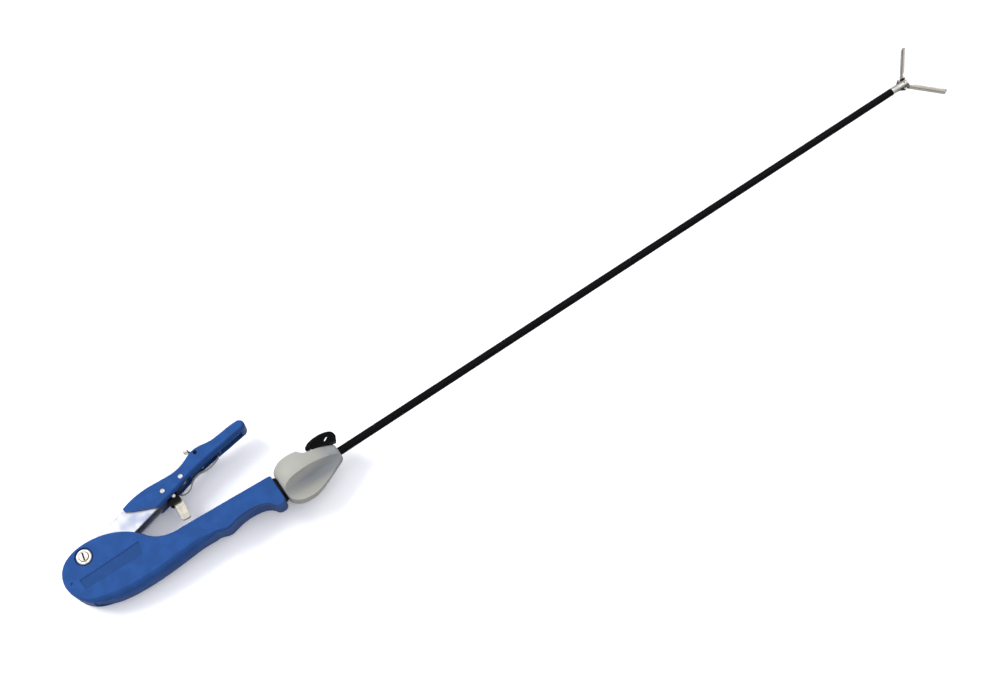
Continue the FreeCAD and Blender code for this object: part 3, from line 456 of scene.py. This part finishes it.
def sheet_steel(name, base, roughness, width, turn):
    """The lever arm's sheet steel: brushed lengthways, with smudges that change its gloss and carry a
    painted bluish reflection, and painted shade at its cut edges.
    """
    mat, tree, shader = new_material(name, roughness, 1.0)
    at = place_on(tree)
    turned = add_node(tree, "ShaderNodeMapping", {"Vector": at, "Rotation": (0.0, 0.0, turn)}).outputs[0]
    marks = use_group(tree, "Brushing", {"Vector": turned, "Width": width})
    edges = use_group(tree, "Worn and lit edges", {"Vector": at, "Radius": 0.0009, "Amount": 1.0})
    # Smudges change the gloss; their bluish colour is a painted reflection
    smudge_reflection = noise(tree, at, SMUDGE_REFLECTION_SCALE, 2.0)
    body = blend(tree, ramp(tree, smudge_reflection, 0.42, 0.62, 0.0, 0.75), base,
                 (base[0] * 0.45, base[1] * 0.53, base[2] * 0.78))
    lined = blend(tree, maths(tree, "MULTIPLY", marks.outputs["Scratches"], 0.15), body, ARM_SCRATCH)
    # Painted shade along the cut edges
    tree.links.new(blend(tree, edges.outputs["Mask"], lined, ARM_EDGE_SHADE), shader.inputs["Base Color"])
    tree.links.new(ramp(tree, smudge_reflection, 0.3, 0.7, roughness, roughness + 0.08), shader.inputs["Roughness"])
    bump(tree, shader, marks.outputs["Height"], ARM_BRUSH_DEPTH)
    return mat


def screw_steel(name, base, roughness, width, centre, depth):
    """A slotted screw's steel, with painted shade down in the slot."""
    mat, tree, shader, lined = steel(name, base, roughness, width)
    at = tree.nodes["Texture Coordinate"].outputs["Object"]
    flat = vector_maths(tree, "MULTIPLY", vector_maths(tree, "SUBTRACT", at, centre), (1.0, 1.0, 0.0))
    # Painted shade down in the slot
    low = ramp(tree, axis(tree, at, "Z"), centre.z - depth * 0.4, centre.z - depth)
    slot_shade = maths(tree, "MULTIPLY", low, ramp(tree, vector_length(tree, flat), *SCREW_EDGE))
    tree.links.new(blend(tree, slot_shade, lined, SCREW_SLOT_SHADE), shader.inputs["Base Color"])
    return mat


def clevis_steel(name, base, roughness, width):
    """The hinge block's satin steel: a dark drag line along its middle, and painted shade on its lower
    side.
    """
    mat, tree, shader, lined = steel(name, base, roughness, width)
    at = tree.nodes["Texture Coordinate"].outputs["Object"]
    ragged = maths(tree, "MULTIPLY", noise(tree, at, DRAG_SCALE, 3.0), DRAG_WANDER)
    moved = maths(tree, "ADD", axis(tree, at, "Y"), ragged)
    streak = maths(tree, "MULTIPLY", near(tree, moved, *DRAG_LINE), 0.55)
    # Painted shade on the lower side
    painted_shade = ramp(tree, moved, *CLEVIS_LOWER_SHADE, 0.0, 0.5)
    tinted = blend(tree, painted_shade, lined, (base[0] * 0.55, base[1] * 0.80, base[2] * 0.75))
    tree.links.new(blend(tree, streak, tinted, DRAG_COLOUR), shader.inputs["Base Color"])
    return mat


def trigger_steel(name, base, width, side_x):
    """The release tab: light steel, coated dark on the side towards the jaws."""
    mat, tree, shader, lined = steel(name, base, 0.28, width, math.radians(TAB_BRUSHING))
    at = tree.nodes["Texture Coordinate"].outputs["Object"]
    pad = ramp(tree, axis(tree, at, "Y"), *PAD_FOOT)
    side = maths(tree, "MULTIPLY", pad, ramp(tree, axis(tree, at, "X"), side_x - 0.0001, side_x + 0.0001))
    tree.links.new(blend(tree, side, lined, TAB_COATING), shader.inputs["Base Color"])
    return mat


def rubber_finish(name, base, sheen):
    """Dull rubber with dust in its fine pits."""
    mat, tree, shader = new_material(name, 0.6)
    shader.inputs["Specular IOR Level"].default_value = sheen
    at = place_on(tree)
    speckle = use_group(tree, "Fine grain", {"Vector": at, "Size": 0.0002})
    dust = ramp(tree, speckle.outputs["Height"], 0.60, 0.78, 0.0, 0.4)
    tree.links.new(blend(tree, dust, base, tuple(c * 4 + 0.008 for c in base)), shader.inputs["Base Color"])
    tree.links.new(ramp(tree, speckle.outputs["Patches"], 0.0, 1.0, 0.62, 0.45), shader.inputs["Roughness"])
    bump(tree, shader, speckle.outputs["Height"], 0.00003)
    return mat


def sleeve_finish(name, base, sheen):
    """Shrunk insulation: satin black with a faint orange peel and long rub marks."""
    mat, tree, shader = new_material(name, 0.33)
    shader.inputs["Specular IOR Level"].default_value = sheen
    at = place_on(tree)
    peel = use_group(tree, "Fine grain", {"Vector": at, "Size": 0.0007})
    marks = use_group(tree, "Brushing", {"Vector": at, "Width": 0.0001})
    rubbed = maths(tree, "MULTIPLY", marks.outputs["Scratches"], 0.35)
    tree.links.new(blend(tree, rubbed, base, tuple(c + 0.008 for c in base)), shader.inputs["Base Color"])
    tree.links.new(ramp(tree, peel.outputs["Patches"], 0.0, 1.0, 0.27, 0.40), shader.inputs["Roughness"])
    bump(tree, shader, peel.outputs["Height"], 0.00002)
    return mat


def knob_finish(name, base, shade, roughness):
    """Glossy grey plastic with painted shade in the flutes, painted reflection streaks along them and
    painted highlights on the rims.
    """
    mat, tree, shader = new_material(name, roughness)
    at = place_on(tree)
    speckle = use_group(tree, "Fine grain", {"Vector": at, "Size": 0.0004})
    edges = use_group(tree, "Worn and lit edges", {"Vector": at, "Radius": 0.0006, "Amount": 0.5})
    stretched_along = vector_maths(tree, "MULTIPLY", at, (0.05, 1.0, 1.0))
    streak_noise = noise(tree, stretched_along, REFLECTION_STREAK_SCALE, 1.0)
    radial = vector_maths(tree, "MULTIPLY", at, (0.0, 1.0, 1.0))
    # Painted shade inside the flutes, near the knob's axis
    inner = ramp(tree, vector_length(tree, radial), *KNOB_FLUTE_SHADE)
    painted_shade = blend(tree, maths(tree, "MULTIPLY", inner, 0.75), base, shade)
    # Painted reflection streaks along the flutes
    reflection_streaks = maths(tree, "MULTIPLY", ramp(tree, streak_noise, 0.42, 0.66, 0.0, 0.40), inner)
    streaked = blend(tree, reflection_streaks, painted_shade, (shade[0] * 0.80, shade[1] * 0.82, shade[2] * 1.02))
    # Painted highlight on the rims
    tree.links.new(blend(tree, edges.outputs["Mask"], streaked, tuple(min(1.0, c * 1.45) for c in base)),
                   shader.inputs["Base Color"])
    bump(tree, shader, speckle.outputs["Height"], 0.00001)
    return mat


def dress(material, *nodes):
    """Gives CAD nodes a better material in their own slots."""
    for name in nodes:
        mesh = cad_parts[name].data
        if not mesh.materials:
            mesh.materials.append(material)
        for i in range(len(mesh.materials)):
            mesh.materials[i] = material


# Modelling helpers

def deselect_all():
    if bpy.context.object and bpy.context.object.mode != "OBJECT":
        bpy.ops.object.mode_set(mode="OBJECT")
    bpy.ops.object.select_all(action="DESELECT")


def pick(test):
    """In edit mode, selects the faces whose centre and normal pass the test."""
    mesh = bmesh.from_edit_mesh(bpy.context.object.data)
    bpy.ops.mesh.select_all(action="DESELECT")
    bpy.ops.mesh.select_mode(type="FACE")
    for face in mesh.faces:
        face.select_set(test(face.calc_center_median(), face.normal))
    bmesh.update_edit_mesh(bpy.context.object.data)


def settle(piece, name, material, body, matrix=None):
    """Puts the piece's place into its mesh, names it, finishes it and lets it ride on a body."""
    piece.name = name
    piece.data.name = name
    piece.data.transform((matrix or Matrix.Identity(4)) @ piece.matrix_basis)
    piece.matrix_basis = Matrix.Identity(4)
    piece.data.materials.clear()
    piece.data.materials.append(material)
    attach(piece, body)


def joined(pieces):
    deselect_all()
    for piece in pieces:
        piece.select_set(True)
    bpy.context.view_layer.objects.active = pieces[0]
    bpy.ops.object.join()
    return bpy.context.object


def copied(piece, matrix):
    """A copy with its own mesh, moved by a matrix."""
    made = piece.copy()
    made.data = piece.data.copy()
    made.data.transform(matrix)
    bpy.context.scene.collection.objects.link(made)
    return made


def rounded_bar(width, long, high, bevel):
    """A bar along X with softened top edges, its foot on Z = 0."""
    deselect_all()
    bpy.ops.mesh.primitive_cube_add(size=1, location=(0, 0, high / 2), scale=(long, width, high))
    bpy.ops.object.transform_apply(location=True, rotation=False, scale=True)
    bpy.ops.object.mode_set(mode="EDIT")
    pick(lambda c, n: n.z > 0.9)
    bpy.ops.mesh.bevel(offset=bevel, segments=3, affect="EDGES")
    bpy.ops.object.mode_set(mode="OBJECT")
    return bpy.context.object


def arched_bar(width, long, high, bend):
    """A bar along X that bows towards +Y, its back on Z = 0."""
    bar = rounded_bar(width, long, high, high * 0.4)
    bpy.ops.object.mode_set(mode="EDIT")
    mesh = bmesh.from_edit_mesh(bar.data)
    bpy.ops.mesh.select_mode(type="EDGE")
    bpy.ops.mesh.select_all(action="DESELECT")
    for edge in mesh.edges:
        along = edge.verts[1].co - edge.verts[0].co
        edge.select_set(abs(along.x) > 0.7 * long)
    bmesh.update_edit_mesh(bar.data)
    bpy.ops.mesh.subdivide(number_cuts=17)
    bpy.ops.object.mode_set(mode="OBJECT")
    bow = bar.modifiers.new("bow", "SIMPLE_DEFORM")
    bow.deform_method = "BEND"
    bow.deform_axis = "Z"
    bow.angle = bend
    bpy.ops.object.modifier_apply(modifier=bow.name)
    return bar


def round_ended_bar(width, long, high):
    """A bar along X with round ends and a softened top, its foot on Z = 0."""
    deselect_all()
    # Turned by half a step, so that no corner lies midway between the two ends
    bpy.ops.mesh.primitive_circle_add(vertices=ROUND_STEPS, radius=width / 2, fill_type="NGON",
                                      rotation=(0.0, 0.0, math.radians(180 / ROUND_STEPS)))
    bpy.ops.object.transform_apply(location=False, rotation=True, scale=False)
    bar = bpy.context.object
    bpy.ops.object.mode_set(mode="EDIT")
    for side in (1, -1):
        mesh = bmesh.from_edit_mesh(bar.data)
        bpy.ops.mesh.select_mode(type="VERT")
        bpy.ops.mesh.select_all(action="DESELECT")
        for vert in mesh.verts:
            vert.select_set(vert.co.x * side > 0.0)
        bmesh.update_edit_mesh(bar.data)
        bpy.ops.transform.translate(value=(side * (long - width) / 2, 0.0, 0.0))
    bpy.ops.mesh.select_mode(type="FACE")
    bpy.ops.mesh.select_all(action="SELECT")
    bpy.ops.mesh.extrude_region_move(TRANSFORM_OT_translate={"value": (0.0, 0.0, high)})
    pick(lambda c, n: abs(n.z) > 0.9 and c.z > high / 2)
    bpy.ops.mesh.bevel(offset=width * 0.15, segments=3, affect="EDGES")
    bpy.ops.mesh.select_all(action="SELECT")
    bpy.ops.mesh.normals_make_consistent(inside=False)
    bpy.ops.object.mode_set(mode="OBJECT")
    return bar


def peened_ring(inner, outer, high):
    """A flat ring with a softened rim, its foot on Z = 0."""
    deselect_all()
    bpy.ops.mesh.primitive_circle_add(vertices=36, radius=outer, fill_type="NGON")
    ring = bpy.context.object
    bpy.ops.object.mode_set(mode="EDIT")
    bpy.ops.mesh.select_all(action="SELECT")
    bpy.ops.mesh.inset(thickness=outer - inner, depth=0.0)
    bpy.ops.mesh.delete(type="FACE")
    bpy.ops.mesh.select_all(action="SELECT")
    bpy.ops.mesh.extrude_region_move(TRANSFORM_OT_translate={"value": (0.0, 0.0, high)})
    bpy.ops.mesh.select_all(action="SELECT")
    bpy.ops.mesh.normals_make_consistent(inside=False)
    bpy.ops.object.mode_set(mode="OBJECT")
    soft = ring.modifiers.new("soft", "BEVEL")
    soft.width = high * 0.4
    soft.segments = 2
    bpy.ops.object.modifier_apply(modifier=soft.name)
    return ring


def finish_smooth(piece):
    deselect_all()
    piece.select_set(True)
    bpy.context.view_layer.objects.active = piece
    bpy.ops.object.shade_smooth_by_angle(angle=math.radians(SMOOTH_ANGLE))


# Operators, one for each group of like pieces

class GRASPER_OT_plastics(bpy.types.Operator):
    """Finish the housing, lever, knob, collar, holder and bush in moulded plastic"""
    bl_idname = "grasper.plastics"
    bl_label = "Plastics"

    def execute(self, context):
        p = context.scene.grasper_plastics
        dress(moulded("Blue housing plastic", p.housing, p.housing_worn_highlight, p.housing_roughness, p.grain,
                      split=True, sheen=p.blue_sheen), "handle_shell_right", "handle_shell_left")
        dress(moulded("Blue lever plastic", p.housing, p.housing_worn_highlight, p.housing_roughness, p.grain,
                      sheen=p.blue_sheen), "lever_shell")
        dress(moulded("Black plastic", p.black, BLACK_WORN_HIGHLIGHT, 0.35, p.grain, wear_and_highlight=0.4, sheen=p.black_sheen),
              "front_collar", "ratchet_holder", "trigger_pin")
        dress(moulded("White bush plastic", p.bush, BUSH_WORN_HIGHLIGHT, 0.45, p.grain, wear_and_highlight=0.3), "bearing_bush")
        dress(knob_finish("Grey knob plastic", p.knob, p.knob_shade, p.knob_roughness), "rotation_knob")
        dress(rubber_finish("Black cap rubber", p.rubber, p.black_sheen), "port_cap")
        dress(sleeve_finish("Black insulating sleeve", p.sleeve, p.black_sheen), "shaft_sleeve")
        return {"FINISHED"}


class GRASPER_OT_metals(bpy.types.Operator):
    """Finish the jaws, arm, pins, links and drive in steel"""
    bl_idname = "grasper.metals"
    bl_label = "Metals"

    def execute(self, context):
        m = context.scene.grasper_metals
        hinge_x = (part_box("jaw_pivot_pin")[0].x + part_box("jaw_pivot_pin")[1].x) / 2
        for name, turn in (("upper_jaw", -JAW_BRUSHING), ("lower_jaw", JAW_BRUSHING)):
            dress(jaw_steel(name.replace("_", " ") + " steel", m.jaw, m.dark, m.polished_roughness,
                            m.scratch, hinge_x, math.radians(turn)), name)
        polished = steel("Polished steel", m.polished, m.polished_roughness, m.scratch)[0]
        dress(polished, "tip_ring", "pivot_bushing", "lever_rivet_rear", "lever_rivet_front", "flush_port",
              "rod_ball")
        dress(clevis_steel("Clevis steel", m.polished, 0.26, m.scratch), "clevis")
        low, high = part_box("pivot_screw")
        top = Vector(((low.x + high.x) / 2, (low.y + high.y) / 2, high.z))
        dress(screw_steel("Pivot screw steel", m.polished, 0.22, m.scratch, top, SCREW_SLOT), "pivot_screw")
        along = math.radians(ARM_BRUSHING)
        dress(sheet_steel("Lever arm steel", m.sheet, 0.30, m.scratch, along), "lever_arm")
        plain = steel("Plain steel", m.plain, m.plain_roughness, m.scratch)[0]
        dress(plain, "pivot_nut", "pawl_pin", "housing_screw_rear", "housing_screw_front", "drive_pin",
              "rack_pin", "drive_link", "rod_coupler", "coupler_pin", "knob_hub", "retaining_ring",
              "shaft_tube", "drive_rod", "rod_yoke", "yoke_pin", "ratchet_pawl")
        dark = steel("Darkened steel", m.dark, 0.38, m.scratch)[0]
        dress(dark, "upper_link", "lower_link", "jaw_pivot_pin", "upper_tail_rivet", "lower_tail_rivet")
        along = math.radians(RACK_BRUSHING)
        dress(steel("Rack steel", RACK_STEEL, 0.30, m.scratch, along)[0], "ratchet_rack")
        dress(steel("Spring steel", SPRING_STEEL, 0.24, m.scratch)[0], "ratchet_spring")
        side_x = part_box("release_trigger")[0].x + TAB_SIDE
        dress(trigger_steel("Trigger steel", TRIGGER_STEEL, m.scratch, side_x), "release_trigger")
        return {"FINISHED"}


class GRASPER_OT_cap_pleats(bpy.types.Operator):
    """Add the pleats along both sides of the port cap, and the bright insert in its eye"""
    bl_idname = "grasper.cap_pleats"
    bl_label = "Cap pleats"

    def execute(self, context):
        t = context.scene.grasper_trim
        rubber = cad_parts["port_cap"].data.materials[0]
        tilt = Matrix.Rotation(math.radians(90.0 - PORT_ANGLE), 4, "X")
        model = arched_bar(t.pleat, CAP_FLAT[1] - CAP_FLAT[0], 2 * t.pleat_height, math.radians(PLEAT_BEND))
        pleats = []
        for side in (1, -1):
            for i in range(CAP_PLEATS):
                share = i / (CAP_PLEATS - 1)
                lean = Matrix.Rotation(math.radians(PLEAT_LEAN - PLEAT_FAN * share), 4, "Z")
                grow = Matrix.Diagonal((1.0 - PLEAT_SHRINK * abs(share - LONGEST_PLEAT), 1.0, 1.0, 1.0))
                at = Vector(((CAP_FLAT[0] + CAP_FLAT[1]) / 2, CAP_TOP - i * t.pleat_pitch, CAP_HALF * side))
                pleats.append(copied(model, tilt @ Matrix.Translation(at) @ lean @ grow))
        bpy.data.objects.remove(model)
        piece = joined(pleats)
        settle(piece, "port_cap_pleats", rubber, "port_cap")
        finish_smooth(piece)

        eye = round_ended_bar(t.eye_width, t.eye_length, EYE_HEIGHT)
        turned = Matrix.Rotation(math.radians(EYE_TURN), 4, "Z")
        white = moulded("White eye plastic", EYE_WHITE, EYE_WORN_HIGHLIGHT, 0.4, EYE_GRAIN)
        settle(eye, "port_cap_eye", white, "port_cap",
               tilt @ Matrix.Translation(EYE_PLACE) @ turned)
        finish_smooth(eye)
        return {"FINISHED"}


class GRASPER_OT_rivet_rings(bpy.types.Operator):
    """Add the peened rings on the ends of the jaw rivets"""
    bl_idname = "grasper.rivet_rings"
    bl_label = "Rivet rings"

    def execute(self, context):
        t = context.scene.grasper_trim
        steel_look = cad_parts["tip_ring"].data.materials[0]
        for name, body in (("upper_tail_rivet", "upper_jaw"), ("lower_tail_rivet", "lower_jaw")):
            low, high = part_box(name)
            centre = (low + high) / 2
            for side, end, word in ((1, high.z, "_ring_near"), (-1, low.z, "_ring_far")):
                piece = peened_ring(t.ring_inner, t.ring_inner + t.ring_width, t.ring_height)
                if side < 0:
                    piece.data.transform(Matrix.Rotation(math.pi, 4, "X"))
                at = Matrix.Translation((centre.x, centre.y, end - side * t.ring_height * RING_SINK))
                settle(piece, name + word, steel_look, body, at)
                finish_smooth(piece)
        return {"FINISHED"}


class GRASPER_OT_pad_ribs(bpy.types.Operator):
    """Add the grip ribs across the release tab's pad"""
    bl_idname = "grasper.pad_ribs"
    bl_label = "Pad ribs"

    def execute(self, context):
        t = context.scene.grasper_trim
        low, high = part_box("release_trigger")
        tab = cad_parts["release_trigger"]
        ribs = []
        for i in range(PAD_RIBS):
            above = Vector((low.x + PAD_RIB_START + i * PAD_RIB_PITCH, PAD_ABOVE,
                            (low.z + high.z) / 2 + PAD_OFF_CENTRE))
            hit, point, _, _ = tab.ray_cast(above, Vector((0, -1, 0)))
            if not hit:
                raise RuntimeError("a pad rib found no pad under it")
            rib = rounded_bar(t.pad_rib, PAD_RIB_LENGTH, PAD_RIB_HEIGHT, PAD_RIB_EDGE)
            rib.data.transform(Matrix.Rotation(math.radians(90), 4, "Y"))
            rib.data.transform(Matrix.Rotation(math.radians(90) + math.radians(PAD_SLOPE), 4, "Z"))
            rib.data.transform(Matrix.Translation((point.x, point.y - PAD_RIB_SINK, PAD_RIB_Z)))
            ribs.append(rib)
        piece = joined(ribs)
        settle(piece, "release_pad_ribs", tab.data.materials[0], "trigger")
        finish_smooth(piece)
        return {"FINISHED"}


class GRASPER_OT_stage(bpy.types.Operator):
    """Set the camera, floor and lights"""
    bl_idname = "grasper.stage"
    bl_label = "Stage"

    def execute(self, context):
        s = context.scene.grasper_stage
        scene = context.scene
        deselect_all()
        bpy.ops.object.camera_add()
        camera = bpy.context.object
        turned = Matrix(CAMERA_AXES).transposed().to_4x4()
        camera.matrix_world = Matrix.Translation(CAMERA_PLACE) @ turned
        camera.name = "camera"
        camera.data.lens = s.lens
        camera.data.sensor_width = 36.0
        camera.data.clip_start = 0.01
        scene.camera = camera

        # The instrument lies on its butt and on the widest part of the knob, so the floor leans a little
        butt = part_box("handle_shell_left")[0]
        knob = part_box("rotation_knob")[0]
        widest_x = knob.x + KNOB_WIDEST
        lean = math.atan2(butt.z - knob.z, widest_x - butt.x)
        bpy.ops.mesh.primitive_plane_add(size=FLOOR_SIZE, location=(widest_x, 0.0, knob.z - FLOOR_GAP),
                                         rotation=(0.0, lean, 0.0))
        floor = bpy.context.object
        floor.name = "floor"
        mat, tree, shader = new_material("Pale floor", 0.9)
        shader.inputs["Specular IOR Level"].default_value = 0.0
        paper = use_group(tree, "Fine grain", {"Vector": place_on(tree), "Size": 0.001})
        seen = tree.nodes.new("ShaderNodeLightPath").outputs["Is Camera Ray"]
        pale = blend(tree, paper.outputs["Patches"], tuple(c * 0.99 for c in s.floor), s.floor)
        tree.links.new(blend(tree, seen, (s.bounce,) * 3, pale), shader.inputs["Base Color"])
        tree.links.new(blend(tree, seen, (0.0, 0.0, 0.0), s.glow), shader.inputs["Emission Color"])
        shader.inputs["Emission Strength"].default_value = 1.0
        floor.data.materials.append(mat)

        world = bpy.data.worlds.new("Soft white room")
        scene.world = world
        world.use_nodes = True
        tree = world.node_tree
        sky = tree.nodes["Background"]
        direction = tree.nodes.new("ShaderNodeTexCoord").outputs["Generated"]
        height = ramp(tree, axis(tree, direction, "Z"), 0.0, 0.75)
        west = maths(tree, "MULTIPLY", ramp(tree, axis(tree, direction, "X"), -0.15, -0.75), height)
        room = blend(tree, height, ROOM_LOW, ROOM_HIGH)
        mirrored = blend(tree, west, blend(tree, height, MIRROR_LOW, MIRROR_HIGH), MIRROR_WEST)
        rays = tree.nodes.new("ShaderNodeLightPath").outputs
        lit = blend(tree, rays["Is Glossy Ray"], room, mirrored)
        tree.links.new(blend(tree, rays["Is Camera Ray"], lit, BACKDROP), sky.inputs["Color"])
        sky.inputs["Strength"].default_value = s.sky

        # The key light isn't seen in reflections, and the sheen light is seen only there
        lights = (("key light", KEY_PLACE, s.key, KEY_SIZE, "visible_glossy"),
                  ("fill light", FILL_PLACE, s.key * FILL_SHARE, FILL_SIZE, ""),
                  ("sheen light", SHEEN_PLACE, s.sheen, SHEEN_SIZE, "visible_diffuse"))
        for name, at, power, size, hidden_from in lights:
            bpy.ops.object.light_add(type="AREA", location=at)
            light = bpy.context.object
            light.name = name
            light.data.energy = power
            light.data.size = size
            light.rotation_euler = (Vector(at) - Vector(LIGHTS_AIM)).to_track_quat("Z", "Y").to_euler()
            if hidden_from:
                setattr(light, hidden_from, False)
        scene.view_settings.view_transform = "Standard"
        return {"FINISHED"}


class GRASPER_PT_panel(bpy.types.Panel):
    """Lists the grasper's sizes, colours and steps"""
    bl_idname = "GRASPER_PT_panel"
    bl_label = "Laparoscopic grasper"
    bl_space_type = "VIEW_3D"
    bl_region_type = "UI"
    bl_category = "Grasper"

    def draw(self, context):
        for settings in (context.scene.grasper_plastics, context.scene.grasper_metals,
                         context.scene.grasper_trim, context.scene.grasper_stage):
            box = self.layout.box()
            for key in settings.__annotations__:
                box.prop(settings, key)
        for operator in STEPS:
            self.layout.operator(operator.bl_idname)


STEPS = (GRASPER_OT_plastics, GRASPER_OT_metals, GRASPER_OT_cap_pleats, GRASPER_OT_rivet_rings,
         GRASPER_OT_pad_ribs, GRASPER_OT_stage)
SETTINGS = {"grasper_plastics": GrasperPlastics, "grasper_metals": GrasperMetals,
            "grasper_trim": GrasperTrim, "grasper_stage": GrasperStage}


def register():
    for key, group in SETTINGS.items():
        bpy.utils.register_class(group)
        setattr(bpy.types.Scene, key, bpy.props.PointerProperty(type=group))
    for step in STEPS:
        bpy.utils.register_class(step)
    bpy.utils.register_class(GRASPER_PT_panel)


def unregister():
    bpy.utils.unregister_class(GRASPER_PT_panel)
    for step in reversed(STEPS):
        bpy.utils.unregister_class(step)
    for key, group in SETTINGS.items():
        delattr(bpy.types.Scene, key)
        bpy.utils.unregister_class(group)


def main():
    register()
    bpy.ops.grasper.plastics()
    bpy.ops.grasper.metals()
    bpy.ops.grasper.cap_pleats()
    bpy.ops.grasper.rivet_rings()
    bpy.ops.grasper.pad_ribs()
    bpy.ops.grasper.stage()


if __name__ == "__main__":
    main()
